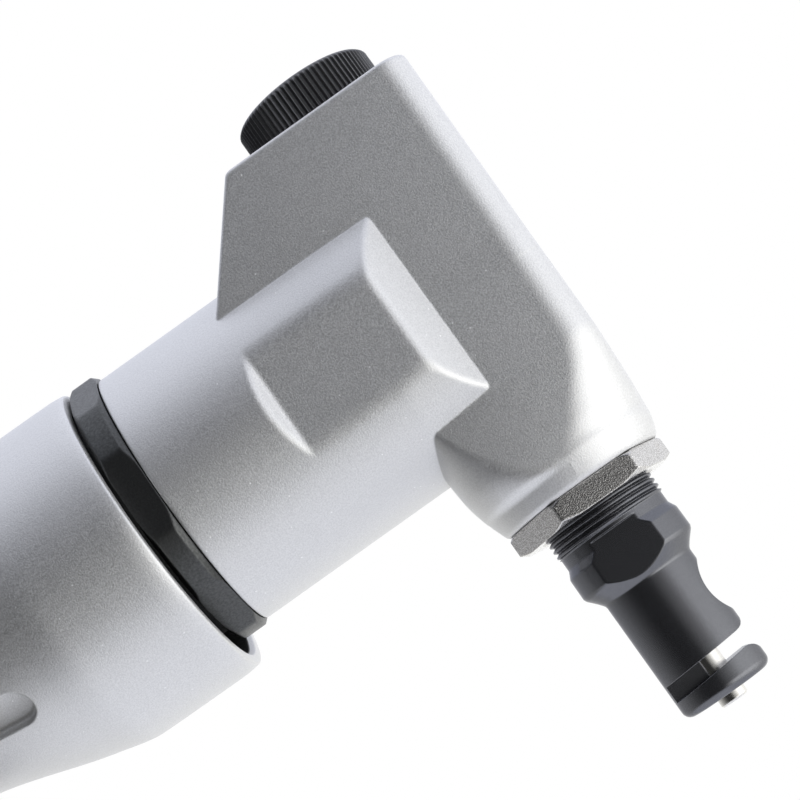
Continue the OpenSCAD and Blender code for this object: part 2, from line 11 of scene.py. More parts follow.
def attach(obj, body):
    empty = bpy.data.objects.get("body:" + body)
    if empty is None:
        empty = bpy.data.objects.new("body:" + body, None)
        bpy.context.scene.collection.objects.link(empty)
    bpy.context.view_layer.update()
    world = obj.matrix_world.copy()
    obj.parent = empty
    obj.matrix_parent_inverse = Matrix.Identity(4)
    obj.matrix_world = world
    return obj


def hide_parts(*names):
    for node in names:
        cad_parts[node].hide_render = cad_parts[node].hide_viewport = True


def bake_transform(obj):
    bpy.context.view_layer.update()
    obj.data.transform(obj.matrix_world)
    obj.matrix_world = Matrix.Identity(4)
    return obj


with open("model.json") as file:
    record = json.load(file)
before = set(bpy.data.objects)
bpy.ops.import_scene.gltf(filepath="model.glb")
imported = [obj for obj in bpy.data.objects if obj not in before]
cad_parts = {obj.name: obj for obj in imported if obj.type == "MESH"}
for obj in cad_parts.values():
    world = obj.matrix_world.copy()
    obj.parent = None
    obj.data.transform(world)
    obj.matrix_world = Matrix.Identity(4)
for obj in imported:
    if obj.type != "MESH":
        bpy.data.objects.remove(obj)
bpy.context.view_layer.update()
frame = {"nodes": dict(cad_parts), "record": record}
bpy.context.scene.view_settings.view_transform = "Standard"

MM = 0.001

# Place of the punch's axis, from the face of the air inlet
PUNCH_X = 205.0

# Stations along the barrel, from the punch's axis
NECK_END = -52.6
RING_END = -57.7
RIM_X = -58.3
MOUTH_END = -64.0
SPIGOT_END = -73.3
EXHAUST_END = -83.0
MOTOR_END = -107.2
VALVE_X = -160.0
AIRWAY_END = -172.0
LEVER_X = -176.0
BARREL_END = -188.0
INLET_X = -PUNCH_X

# Play between parts that run or fit in each other
RUN_GAP = 0.05

# Radii, half widths and heights
NECK_R = 23.0
SIDE_FLAT = 21.21
BLOCK_HALF = 15.74
BLOCK_TOP = 35.3
BLOCK_REAR = -31.3
SLANT_FOOT = 17.2
NOSE_Z = -35.2
SPIGOT_R = 21.0
MOTOR_BORE_R = 18.1
MOUTH_R = 23.5
MOUTH_Z = -2.3
LEVER_Z = -23.6
THREAD_R = 9.8
CAP_R = 12.33
KNURLS = 80
PUNCH_R = 2.4


# Shader building

def add_node(tree, kind, inputs=None, **settings):
    """One shader node with its settings, and its sockets set or linked."""
    made = tree.nodes.new(kind)
    for key, value in settings.items():
        setattr(made, key, value)
    for key, value in (inputs or {}).items():
        plug(tree, made.inputs[key], value)
    return made


def plug(tree, socket, value):
    if isinstance(value, bpy.types.NodeSocket):
        tree.links.new(value, socket)
    else:
        socket.default_value = value


def maths(tree, operation, a, b=0.0):
    return add_node(tree, "ShaderNodeMath", {0: a, 1: b}, operation=operation).outputs[0]


def remap(tree, value, low, high, to_low=0.0, to_high=1.0, smooth=False):
    made = add_node(tree, "ShaderNodeMapRange",
                    {"Value": value, "From Min": low, "From Max": high,
                     "To Min": to_low, "To Max": to_high},
                    interpolation_type="SMOOTHSTEP" if smooth else "LINEAR")
    return made.outputs["Result"]


def blend_colour(tree, factor, a, b):
    made = add_node(tree, "ShaderNodeMix", {0: factor, 6: a, 7: b}, data_type="RGBA")
    return made.outputs[2]


def rgb(*colour):
    return (*colour, 1.0)


def new_group(name, inputs, outputs):
    """A node group with named sockets, as (group, its input node, its output node)."""
    tree = bpy.data.node_groups.new(name, "ShaderNodeTree")
    for label, kind, value in inputs:
        socket = tree.interface.new_socket(label, in_out="INPUT", socket_type=kind)
        socket.default_value = value
    for label, kind in outputs:
        tree.interface.new_socket(label, in_out="OUTPUT", socket_type=kind)
    return tree, tree.nodes.new("NodeGroupInput"), tree.nodes.new("NodeGroupOutput")


def use_group(tree, group, **values):
    made = add_node(tree, "ShaderNodeGroup", node_tree=group)
    for label, value in values.items():
        plug(tree, made.inputs[label.replace("_", " ")], value)
    return made.outputs


def grain_group():
    """Fine speckle of sprayed or blasted metal, Size in metres."""
    tree, given, out = new_group(
        "grain", [("Size", "NodeSocketFloat", 0.0004), ("Contrast", "NodeSocketFloat", 0.5)],
        [("Tone", "NodeSocketFloat"), ("Fleck", "NodeSocketFloat")])
    place = add_node(tree, "ShaderNodeTexCoord").outputs["Object"]
    scale = maths(tree, "DIVIDE", 1.0, given.outputs["Size"])
    fine = add_node(tree, "ShaderNodeTexNoise", {"Vector": place, "Scale": scale,
                                                 "Detail": 2.0, "Roughness": 0.65})
    centred = maths(tree, "SUBTRACT", fine.outputs[0], 0.5)
    gain = maths(tree, "MULTIPLY", given.outputs["Contrast"], 4.0)
    lifted = maths(tree, "MULTIPLY", centred, gain)
    plug(tree, out.inputs["Tone"], maths(tree, "ADD", lifted, 0.5))
    cells = add_node(tree, "ShaderNodeTexVoronoi",
                     {"Vector": place, "Scale": maths(tree, "MULTIPLY", scale, 0.32)})
    chance = add_node(tree, "ShaderNodeSeparateColor", {0: cells.outputs["Color"]}).outputs[0]
    rare = maths(tree, "GREATER_THAN", chance, 0.975)
    near = remap(tree, cells.outputs["Distance"], 0.1, 0.2, 1.0, 0.0)
    plug(tree, out.inputs["Fleck"], maths(tree, "MULTIPLY", rare, near))
    return tree


def soft_edge_group():
    """Rounds sharp edges in the shading, and marks them; Width in metres."""
    tree, given, out = new_group(
        "soft_edge", [("Width", "NodeSocketFloat", 0.0003)],
        [("Edge", "NodeSocketFloat"), ("Normal", "NodeSocketVector")])
    round_edge = add_node(tree, "ShaderNodeBevel", {"Radius": given.outputs["Width"]}, samples=6)
    flat = add_node(tree, "ShaderNodeNewGeometry").outputs["Normal"]
    turned = add_node(tree, "ShaderNodeVectorMath",
                      {0: round_edge.outputs[0], 1: flat}, operation="DOT_PRODUCT")
    plug(tree, out.inputs["Edge"], remap(tree, turned.outputs["Value"], 0.995, 0.85))
    plug(tree, out.inputs["Normal"], round_edge.outputs[0])
    return tree


def turning_group():
    """Fine tool marks round an axis: Axis is the lathe's, Pitch in metres."""
    tree, given, out = new_group(
        "turning", [("Axis", "NodeSocketVector", (0, 0, 1)), ("Pitch", "NodeSocketFloat", 0.0002)],
        [("Height", "NodeSocketFloat")])
    place = add_node(tree, "ShaderNodeTexCoord").outputs["Object"]
    along = add_node(tree, "ShaderNodeVectorMath",
                     {0: place, 1: given.outputs["Axis"]}, operation="DOT_PRODUCT")
    steps = maths(tree, "DIVIDE", along.outputs["Value"], given.outputs["Pitch"])
    marks = add_node(tree, "ShaderNodeTexNoise", {"W": steps, "Scale": 1.0, "Detail": 2.0},
                     noise_dimensions="1D")
    plug(tree, out.inputs["Height"], marks.outputs[0])
    return tree


def patch_group():
    """Slow uneven patches, such as oil, dust or handling: Size in metres."""
    tree, given, out = new_group(
        "patches", [("Size", "NodeSocketFloat", 0.01), ("Cover", "NodeSocketFloat", 0.5)],
        [("Mask", "NodeSocketFloat")])
    place = add_node(tree, "ShaderNodeTexCoord").outputs["Object"]
    slow = add_node(tree, "ShaderNodeTexNoise",
                    {"Vector": place, "Scale": maths(tree, "DIVIDE", 1.0, given.outputs["Size"]),
                     "Detail": 4.0, "Roughness": 0.6, "Distortion": 0.3})
    low = maths(tree, "SUBTRACT", 0.78, maths(tree, "MULTIPLY", given.outputs["Cover"], 0.5))
    risen = maths(tree, "SUBTRACT", slow.outputs[0], low)
    plug(tree, out.inputs["Mask"], remap(tree, risen, 0.0, 0.16, smooth=True))
    return tree


GRAIN = grain_group()
SOFT_EDGE = soft_edge_group()
TURNING = turning_group()
PATCHES = patch_group()


def new_material(name):
    made = bpy.data.materials.new(name)
    made.use_nodes = True
    made.node_tree.nodes.clear()
    return made, made.node_tree


def finish_shader(tree, **sockets):
    """The skin of a material, from plain names for the sockets that it sets."""
    labels = {"colour": "Base Color", "metallic": "Metallic", "roughness": "Roughness",
              "normal": "Normal", "edge_tint": "Specular Tint"}
    skin = add_node(tree, "ShaderNodeBsdfPrincipled",
                    {labels[key]: value for key, value in sockets.items()})
    add_node(tree, "ShaderNodeOutputMaterial", {"Surface": skin.outputs[0]})


def bump(tree, height, depth, normal):
    made = add_node(tree, "ShaderNodeBump",
                    {"Height": height, "Distance": depth, "Strength": 1.0, "Normal": normal})
    return made.outputs[0]


def silver_paint():
    made, tree = new_material("silver_paint")
    edge = use_group(tree, SOFT_EDGE, Width=0.00045)
    grain = use_group(tree, GRAIN, Size=0.00028, Contrast=0.7)
    dust = use_group(tree, PATCHES, Size=0.03, Cover=0.35)
    tone = blend_colour(tree, grain["Tone"], rgb(0.61, 0.61, 0.61), rgb(0.75, 0.75, 0.75))
    dulled = blend_colour(tree, maths(tree, "MULTIPLY", dust["Mask"], 0.25), tone,
                          rgb(0.62, 0.62, 0.62))
    specked = blend_colour(tree, grain["Fleck"], dulled, rgb(0.92, 0.92, 0.92))
    worn = blend_colour(tree, maths(tree, "MULTIPLY", edge["Edge"], 0.35), specked,
                        rgb(0.84, 0.84, 0.84))
    finish_shader(tree, colour=worn, metallic=remap(tree, grain["Fleck"], 0.0, 1.0, 0.8, 0.1),
                  roughness=remap(tree, grain["Tone"], 0.0, 1.0, 0.38, 0.52),
                  normal=bump(tree, grain["Tone"], 0.000014, edge["Normal"]))
    return made


def black_oxide():
    made, tree = new_material("black_oxide")
    edge = use_group(tree, SOFT_EDGE, Width=0.00018)
    grain = use_group(tree, GRAIN, Size=0.00022, Contrast=0.5)
    marks = use_group(tree, TURNING, Axis=ALONG_Z, Pitch=0.00016)
    oil = use_group(tree, PATCHES, Size=0.006, Cover=0.4)
    tone = blend_colour(tree, grain["Tone"], rgb(0.13, 0.132, 0.142), rgb(0.17, 0.173, 0.185))
    worn = blend_colour(tree, maths(tree, "MULTIPLY", edge["Edge"], 0.4), tone,
                        rgb(0.33, 0.33, 0.335))
    mixed = maths(tree, "ADD", maths(tree, "MULTIPLY", marks["Height"], 0.96),
                  maths(tree, "MULTIPLY", grain["Tone"], 0.04))
    finish_shader(tree, colour=worn, metallic=0.88, edge_tint=rgb(0.6, 0.6, 0.62),
                  roughness=remap(tree, oil["Mask"], 0.0, 1.0, 0.22, 0.15),
                  normal=bump(tree, mixed, 0.000005, edge["Normal"]))
    return made


def black_knurl():
    made, tree = new_material("black_knurl")
    edge = use_group(tree, SOFT_EDGE, Width=0.00012)
    grain = use_group(tree, GRAIN, Size=0.0002, Contrast=0.5)
    tone = blend_colour(tree, grain["Tone"], rgb(0.09, 0.09, 0.092), rgb(0.14, 0.14, 0.143))
    worn = blend_colour(tree, maths(tree, "MULTIPLY", edge["Edge"], 0.8), tone,
                        rgb(0.4, 0.4, 0.4))
    finish_shader(tree, colour=worn, metallic=0.9, roughness=0.32,
                  normal=bump(tree, grain["Tone"], 0.000006, edge["Normal"]))
    return made


def nickel():
    made, tree = new_material("nickel")
    edge = use_group(tree, SOFT_EDGE, Width=0.00025)
    grain = use_group(tree, GRAIN, Size=0.0002, Contrast=0.9)
    stain = use_group(tree, PATCHES, Size=0.004, Cover=0.3)
    tone = blend_colour(tree, grain["Tone"], rgb(0.32, 0.31, 0.3), rgb(0.74, 0.73, 0.72))
    tarnished = blend_colour(tree, maths(tree, "MULTIPLY", stain["Mask"], 0.3), tone,
                             rgb(0.42, 0.35, 0.28))
    finish_shader(tree, colour=tarnished, metallic=1.0,
                  roughness=remap(tree, grain["Tone"], 0.0, 1.0, 0.12, 0.06),
                  normal=bump(tree, grain["Tone"], 0.000012, edge["Normal"]))
    return made


def bright_metal(name, dark, light, roughness, axis):
    """Ground or polished steel with fine marks across an axis."""
    pitch = 0.00012
    depth = 0.000003
    made, tree = new_material(name)
    edge = use_group(tree, SOFT_EDGE, Width=0.0002)
    marks = use_group(tree, TURNING, Axis=axis, Pitch=pitch)
    oil = use_group(tree, PATCHES, Size=0.005, Cover=0.4)
    tone = blend_colour(tree, marks["Height"], rgb(*dark), rgb(*light))
    finish_shader(tree, colour=tone, metallic=1.0,
                  roughness=remap(tree, oil["Mask"], 0.0, 1.0, roughness, roughness * 0.7),
                  normal=bump(tree, marks["Height"], depth, edge["Normal"]))
    return made


def blasted_metal(name, dark, light, roughness, size=0.0004, metallic=1.0):
    """Cast, coated or heat-treated metal, or rubber, with an even grain."""
    depth = 0.00001
    made, tree = new_material(name)
    edge = use_group(tree, SOFT_EDGE, Width=0.00025)
    grain = use_group(tree, GRAIN, Size=size, Contrast=0.6)
    tone = blend_colour(tree, grain["Tone"], rgb(*dark), rgb(*light))
    worn = blend_colour(tree, maths(tree, "MULTIPLY", edge["Edge"], 0.3), tone,
                        rgb(*[min(1.0, c * 1.6 + 0.05) for c in light]))
    finish_shader(tree, colour=worn, metallic=metallic,
                  roughness=remap(tree, grain["Tone"], 0.0, 1.0,
                                  roughness + 0.06, roughness - 0.04),
                  normal=bump(tree, grain["Tone"], depth, edge["Normal"]))
    return made


def vane_laminate():
    made, tree = new_material("vane_laminate")
    place = add_node(tree, "ShaderNodeTexCoord").outputs["Object"]
    weave = add_node(tree, "ShaderNodeTexWave", {"Vector": place, "Scale": 900.0,
                                                 "Distortion": 1.5}, bands_direction="X")
    tone = blend_colour(tree, weave.outputs[1], rgb(0.2, 0.12, 0.06), rgb(0.32, 0.2, 0.11))
    edge = use_group(tree, SOFT_EDGE, Width=0.0002)
    finish_shader(tree, colour=tone, metallic=0.0, roughness=0.55,
                  normal=bump(tree, weave.outputs[1], 0.00002, edge["Normal"]))
    return made


# Painted shade: near-black oily metal for the bores and the spigot. It is dark partly because these
# are bare casting and partly to stand in for the shade in the mouth and in the gap behind the ring.
DARK_BORE_AND_SHADE = blasted_metal("dark_bore_and_painted_shade", (0.02, 0.02, 0.02), (0.05, 0.05, 0.05), 0.45,
                          metallic=0.3)
RUBBED_BLACK = blasted_metal("rubbed_black", (0.062, 0.064, 0.063), (0.1, 0.102, 0.102), 0.38)
ALONG_X = (1, 0, 0)
ALONG_Z = (0, 0, 1)
FINISHES = {
    "silver_paint": silver_paint(),
    "black_oxide": black_oxide(),
    "black_knurl": black_knurl(),
    "nickel": nickel(),
    "tool_steel": bright_metal("tool_steel", (0.62, 0.6, 0.57), (0.8, 0.79, 0.76), 0.2, ALONG_Z),
    "ground_steel": bright_metal("ground_steel", (0.48, 0.49, 0.5), (0.66, 0.67, 0.68), 0.25,
                                 ALONG_X),
    "gear_steel": blasted_metal("gear_steel", (0.36, 0.36, 0.37), (0.5, 0.5, 0.5), 0.34),
    "bearing_steel": bright_metal("bearing_steel", (0.68, 0.69, 0.7), (0.78, 0.79, 0.8), 0.12,
                                  ALONG_X),
    "cylinder_iron": blasted_metal("cylinder_iron", (0.22, 0.22, 0.22), (0.36, 0.36, 0.35), 0.45),
    "bronze": blasted_metal("bronze", (0.5, 0.32, 0.13), (0.7, 0.47, 0.22), 0.36),
    "vane_laminate": vane_laminate(),
    "seal_rubber": blasted_metal("seal_rubber", (0.02, 0.02, 0.02), (0.035, 0.035, 0.035), 0.5,
                                 metallic=0.0),
    "plated_steel": bright_metal("plated_steel", (0.62, 0.62, 0.6), (0.76, 0.76, 0.74), 0.22,
                                 ALONG_X),
    "screen_steel": bright_metal("screen_steel", (0.5, 0.5, 0.48), (0.66, 0.66, 0.64), 0.3,
                                 ALONG_X),
    "black_screw": blasted_metal("black_screw", (0.1, 0.1, 0.11), (0.18, 0.18, 0.19), 0.35,
                                 size=0.00025),
    "lever_black": blasted_metal("lever_black", (0.035, 0.035, 0.037), (0.06, 0.06, 0.062), 0.4,
                                 size=0.0003, metallic=0.1),
}


# Mesh building, in millimetres from the punch's axis

def soft_min(a, b, width):
    """The smaller of two distances, rounded over where they cross."""
    near = max(width - abs(a - b), 0.0)
    return min(a, b) - near * near / (4 * width)


def soft_max(a, b, width):
    return -soft_min(-a, -b, width)


def spread(start, end, step):
    """Even stations from start to end, both included."""
    count = max(1, math.ceil(abs(end - start) / step))
    return [start + (end - start) * i / count for i in range(count + 1)]


def angles(count):
    return [2 * math.pi * i / count for i in range(count)]


def loft(rings, loop=False):
    """Points and faces of a skin over rings of equal count, with ends closed or joined."""
    count = len(rings[0])
    points = [p for ring in rings for p in ring]
    faces = []
    pairs = len(rings) if loop else len(rings) - 1
    for row in range(pairs):
        a = row * count
        b = ((row + 1) % len(rings)) * count
        for i in range(count):
            j = (i + 1) % count
            faces.append((a + i, a + j, b + j, b + i))
    if not loop:
        faces.append(tuple(range(count)))
        faces.append(tuple(range((len(rings) - 1) * count, len(points))))
    return points, faces


def solid(name, points, faces):
    """A closed mesh object with its normals outward."""
    mesh = bpy.data.meshes.new(name)
    mesh.from_pydata([vec(*p) for p in points], [], faces)
    shape = bmesh.new()
    shape.from_mesh(mesh)
    bmesh.ops.recalc_face_normals(shape, faces=shape.faces)
    shape.to_mesh(mesh)
    shape.free()
    made = bpy.data.objects.new(name, mesh)
    bpy.context.collection.objects.link(made)
    return made


def vec(x, y, z):
    """A place in millimetres from the punch's axis, as metres in the row's frame."""
    return Vector(((PUNCH_X + x) * MM, y * MM, z * MM))


def combine(piece, other, operation):
    """Adds or cuts one closed solid from another, and takes the other away."""
    step = piece.modifiers.new(operation.lower(), "BOOLEAN")
    step.operation = operation
    step.solver = "EXACT"
    step.object = other
    bake(piece)
    bpy.data.objects.remove(other)


def bake(piece):
    seen = piece.evaluated_get(bpy.context.evaluated_depsgraph_get())
    mesh = bpy.data.meshes.new_from_object(seen)
    piece.modifiers.clear()
    piece.data = mesh


def smooth(piece, degrees=32):
    for face in piece.data.polygons:
        face.use_smooth = True
    piece.data.set_sharp_from_angle(angle=math.radians(degrees))


def install(piece, slot, body, node, sharp=32):
    """Finishes a piece: shading, material, the body it rides on, the node it stands for."""
    smooth(piece, sharp)
    piece.data.materials.clear()
    piece.data.materials.append(FINISHES[slot])
    if body:
        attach(piece, body)
    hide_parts(node)


def coat_bore_and_paint_shade(piece, inside):
    """Oily dark metal, which also serves as painted shade in the hollows, on the faces of a casting
    whose middle passes the rule.
    """
    piece.data.materials.append(DARK_BORE_AND_SHADE)
    for face in piece.data.polygons:
        x, y, z = face.center / MM
        if inside(x - PUNCH_X, y, z):
            face.material_index = 1


def ring_x(x, radius, centre_z=0.0, count=192):
    """A ring across the barrel; radius may be a number or a rule of the angle."""
    made = []
    for a in angles(count):
        r = radius(a) if callable(radius) else radius
        made.append((x, r * math.sin(a), centre_z + r * math.cos(a)))
    return made


def ring_z(z, radius, count=192, x=0.0):
    made = []
    for a in angles(count):
        r = radius(a) if callable(radius) else radius
        made.append((x + r * math.cos(a), r * math.sin(a), z))
    return made


def hexagon(flat_r, turn, width=0.12):
    """Radius rule of a hexagon with slightly rounded corners, flats at turn degrees."""
    def radius(a):
        r = math.inf
        for k in range(6):
            towards = math.cos(a - math.radians(turn + 60 * k))
            if towards > 0.3:
                r = soft_min(r, flat_r / towards, width)
        return r
    return radius


def along_chain(chain, step):
    """Stations along a chain of (place, radius) corners, close enough for a smooth skin."""
    made = []
    for (p0, r0), (p1, r1) in zip(chain, chain[1:]):
        count = max(1, math.ceil(math.hypot(p1 - p0, r1 - r0) / step))
        made += [(p0 + (p1 - p0) * i / count, r0 + (r1 - r0) * i / count) for i in range(count)]
    return made + [chain[-1]]


# Barrel

# Place, top and lower side of the barrel's outside
BARREL_RUN = [(RIM_X, 24.35, -28.2), (-61, 24.6, -28.5), (-76, 24.7, -28.4), (-84, 24.75, -26.75),
              (-104, 24.8, -21.0), (-114, 24.5, -19.6), (-178, 23.2, -19.2),
              (BARREL_END, 20.6, -17.4)]


def slopes(xs, ys):
    """Slopes of a smooth curve that doesn't overshoot its stations."""
    steps = [(y1 - y0) / (x1 - x0) for x0, x1, y0, y1 in zip(xs, xs[1:], ys, ys[1:])]
    inner = [0.0 if a * b <= 0 else 2 * a * b / (a + b) for a, b in zip(steps, steps[1:])]
    return [steps[0]] + inner + [steps[-1]]


def along_curve(x, xs, ys):
    """Height of the smooth curve through the stations at x."""
    for i in range(len(xs) - 1):
        if (x - xs[i]) * (x - xs[i + 1]) <= 0:
            span = xs[i + 1] - xs[i]
            t = (x - xs[i]) / span
            m = slopes(xs, ys)
            return ((2 * t ** 3 - 3 * t ** 2 + 1) * ys[i] + (t ** 3 - 2 * t ** 2 + t) * span * m[i]
                    + (3 * t ** 2 - 2 * t ** 3) * ys[i + 1] + (t ** 3 - t ** 2) * span * m[i + 1])
    raise ValueError(x)


def barrel_section(x):
    """Middle height and radius of the barrel's outside at a station."""
    xs = [s[0] for s in BARREL_RUN]
    top = along_curve(x, xs, [s[1] for s in BARREL_RUN])
    low = along_curve(x, xs, [s[2] for s in BARREL_RUN])
    return (top + low) / 2, (top - low) / 2


# Rounding of the rim's outer edge
RIM_EDGE = 0.35


def lean(p):
    """The mouth's rim stands a little further forward towards the die's side."""
    x, y, z = p
    rim_top = 24.35
    rim_height = 52.5
    low = (rim_top - z) / rim_height
    share = max(0.0, (x - MOUTH_END) / (RIM_X - MOUTH_END))
    forward = 0.35 * low + 0.4 * low * low
    return (x + share * forward, y, z)


def barrel_skin():
    """Outside, mouth and bores of the barrel as one closed skin."""
    rear_edge = 0.8
    flare = 0.6
    lip = 0.1
    lead = 0.3
    inlet_lead = 0.4
    spigot_bore_r = SPIGOT_R + RUN_GAP
    airway_r = 5.0
    inlet_bore_r = 9.0
    rings = []
    for x in spread(BARREL_END + rear_edge, RIM_X - RIM_EDGE, 1.0):
        middle, r = barrel_section(x)
        rings.append(ring_x(x, r, middle))
    middle, r = barrel_section(RIM_X)
    for k in range(1, 5):
        a = math.radians(90 * k / 4)
        rings.append(ring_x(RIM_X - RIM_EDGE + RIM_EDGE * math.sin(a),
                            r - RIM_EDGE * (1 - math.cos(a)), middle))
    for x, r in ((RIM_X, MOUTH_R + flare + lip), (RIM_X - lip, MOUTH_R + flare),
                 (RIM_X - flare, MOUTH_R + lip), (RIM_X - flare - lip, MOUTH_R)):
        rings.append(ring_x(x, r, MOUTH_Z))
    for x in spread(RIM_X - 2, MOUTH_END, 1.5):
        rings.append(ring_x(x, MOUTH_R, MOUTH_Z))
    for x, r in ((MOUTH_END, spigot_bore_r + lead), (MOUTH_END - lead, spigot_bore_r),
                 (SPIGOT_END, spigot_bore_r), (SPIGOT_END, MOTOR_BORE_R),
                 (MOTOR_END, MOTOR_BORE_R), (MOTOR_END, airway_r), (AIRWAY_END, airway_r),
                 (AIRWAY_END, inlet_bore_r), (BARREL_END + inlet_lead, inlet_bore_r),
                 (BARREL_END, inlet_bore_r + inlet_lead)):
        rings.append(ring_x(x, r))
    middle, r = barrel_section(BARREL_END)
    for k in range(4):
        a = math.radians(90 * k / 4)
        rings.append(ring_x(BARREL_END + rear_edge * (1 - math.cos(a)),
                            r - rear_edge * (1 - math.sin(a)), middle))
    return solid("barrel_shell", *loft([[lean(p) for p in ring] for ring in rings], loop=True))


def flank_cutter(side):
    """Long round-ended pocket, slanting into the lower flank, with a rounded floor."""
    width = 6.6
    length = 24.0
    deep = 9.0
    floor_r = 0.8
    floor_place = (-88.6, -23.3, 0)
    round_barrel = Matrix.Rotation(math.radians(36), 4, "X")
    slant = Matrix.Rotation(math.radians(-14.5), 4, "Z")
    turn = round_barrel @ Matrix.Translation(floor_place) @ slant
    levels = [(-floor_r * (1 - math.cos(a)), width / 2 - floor_r * (1 - math.sin(a)))
              for a in [math.radians(22.5 * k) for k in range(5)]] + [(-deep, width / 2)]
    rings = []
    for depth, r in levels:
        ring = []
        for a in angles(64):
            shift = 0.0 if math.cos(a) > 0 else width - length
            p = turn @ Vector((shift + r * math.cos(a), depth, r * math.sin(a)))
            ring.append((p.x, p.y if side < 0 else -p.y, p.z))
        rings.append(ring)
    return solid("flank_cutter", *loft(rings))


def exhaust_cutter():
    """Crescent passage from the motor's ports to the mouth."""
    half = 9
    upper_r = 22.6
    lower_r = 23.4
    upper = [(y, -math.sqrt(upper_r ** 2 - y * y)) for y in spread(-half, half, 1.0)]
    lower = [(y, MOUTH_Z - math.sqrt(lower_r ** 2 - y * y)) for y in spread(half, -half, 1.0)]
    rings = [[(x, y, z) for y, z in upper + lower] for x in (EXHAUST_END, -73.0, MOUTH_END + 1)]
    return solid("exhaust_cutter", *loft(rings))


def round_z_cutter(x, z0, z1, r):
    return solid("round_cutter", *loft([ring_z(z0, r, 64, x), ring_z(z1, r, 64, x)]))


def lever_ear():
    """Ear under the barrel that holds the lever's pin: round below, straight above."""
    width = 10
    chamfer = 0.4
    ear_r = 4
    top = LEVER_Z + 8
    rings = []
    for y, inset in ((-width / 2, chamfer), (chamfer - width / 2, 0), (width / 2 - chamfer, 0),
                     (width / 2, chamfer)):
        half = ear_r - inset
        low = [(LEVER_X + half * math.cos(a), y, LEVER_Z + half * math.sin(a))
               for a in [math.pi * (1 + k / 24) for k in range(25)]]
        rings.append(low + [(LEVER_X + half, y, top), (LEVER_X - half, y, top)])
    return solid("lever_ear", *loft(rings))


def barrel_shell():
    made = barrel_skin()
    combine(made, lever_ear(), "UNION")
    for side in (-1, 1):
        combine(made, flank_cutter(side), "DIFFERENCE")
    combine(made, exhaust_cutter(), "DIFFERENCE")
    stem_bore = (-30, -10, 2.2)
    valve_chamber = (-15, 30, 5.6)
    plug_bore = (15.2, 30, 6.6)
    for low, high, r in (stem_bore, valve_chamber, plug_bore):
        combine(made, round_z_cutter(VALVE_X, low, high, r), "DIFFERENCE")
    install(made, "silver_paint", "housing", "barrel")
    # Painted shade: the mouth's inside and the exhaust passage are darkened, partly as bare oily
    # bore and partly as shade.
    coat_bore_and_paint_shade(made, lambda x, y, z: EXHAUST_END - 1 < x < lean((RIM_X - RIM_EDGE, y, z))[0]
                and math.hypot(y, z - MOUTH_Z) < MOUTH_R + 0.2)


# Head

def corner_round(x, y, rx, ry, start, steps=16):
    return [(x + rx * math.cos(math.radians(start + 90 * i / steps)),
             y + ry * math.sin(math.radians(start + 90 * i / steps))) for i in range(steps + 1)]


def block_ring(z, rear, front, half, r_rear, r_front, rear_across=None):
    """Horizontal slice of the block; the rear corners' radius across is that along by default."""
    across = rear_across or r_rear
    outline = (corner_round(front - r_front, half - r_front, r_front, r_front, 0)
               + corner_round(rear + r_rear, half - across, r_rear, across, 90)
               + corner_round(rear + r_rear, -half + across, r_rear, across, 180)
               + corner_round(front - r_front, -half + r_front, r_front, r_front, 270))
    return [(x, y, z) for x, y in outline]


def rear_at(z):
    """Place of the block's rear face, which slants forward above its foot."""
    slant = 0.79
    return BLOCK_REAR + slant * max(0.0, z - SLANT_FOOT)


def upper_block():
    """Tall part of the block, with a rounded upper edge and a slanting rear face."""
    edge = 0.6
    rear_r = 0.7
    top_front = 16.3
    top_front_r = 4.9
    front = 15.9
    front_slope = 0.0117
    front_r = 5.2
    front_r_slope = 0.0086
    rings = []
    for k in range(7):
        a = math.radians(90 - 90 * k / 6)
        inset = edge * (1 - math.cos(a))
        z = BLOCK_TOP - edge * (1 - math.sin(a))
        rings.append(block_ring(z, rear_at(z) + inset, top_front - inset, BLOCK_HALF - inset,
                                rear_r, top_front_r - inset))
    for z in (spread(BLOCK_TOP - edge - 0.5, SLANT_FOOT + 0.3, 2.0)
              + spread(SLANT_FOOT - 0.3, -2.0, 2.0)):
        rings.append(block_ring(z, rear_at(z), front + z * front_slope, BLOCK_HALF, rear_r,
                                front_r - z * front_r_slope))
    return solid("upper_block", *loft(rings))


# Height, rear, front and half width of the nose, then its corners: rear along, front, rear across
NOSE_RUN = [(2.0, -17.4, 15.92, BLOCK_HALF, 3.4, 5.2, 10.7),
            (-15.6, -17.15, 15.82, BLOCK_HALF, 3.4, 5.9, 10.7),
            (-19.0, -17.05, 15.76, BLOCK_HALF, 4.6, 7.2, 11.0),
            (-26.8, -16.6, 15.62, BLOCK_HALF, 9.0, 12.8, 12.4),
            (-30.8, -15.75, 15.4, 15.66, 12.6, 15.3, 14.2),
            (-32.0, -15.35, 15.25, 15.35, 15.3, 15.25, 15.3),
            (-33.0, -15.0, 15.0, 15.0, 15.0, 15.0, 15.0),
            (-34.2, -14.55, 14.55, 14.55, 14.55, 14.55, 14.55),
            (-35.0, -14.2, 14.2, 14.2, 14.2, 14.2, 14.2),
            (NOSE_Z, -13.9, 13.9, 13.9, 13.9, 13.9, 13.9)]


def lower_block():
    """Square where it leaves the boss, turning round towards the nut."""
    depths, *columns = zip(*NOSE_RUN)
    depths = [-z for z in depths]
    rings = []
    for depth in spread(depths[0], depths[-1], 0.4):
        sizes = [along_curve(depth, depths, column) for column in columns]
        rings.append(block_ring(-depth, *sizes))
    return solid("lower_block", *loft(rings))


def neck_half_width(x):
    """Half width of the neck in plan: full, shoulder, flat, then the bevel to the block."""
    shoulder_end = -30.5
    bevel_start = -8.4
    bevel_end = -3.0
    narrowing = (SIDE_FLAT - BLOCK_HALF) / (bevel_end - bevel_start)
    shoulder = SIDE_FLAT - (x - shoulder_end)
    bevel = SIDE_FLAT - (x - bevel_start) * narrowing
    return soft_min(soft_max(SIDE_FLAT, shoulder, 0.5), bevel, 1.0)


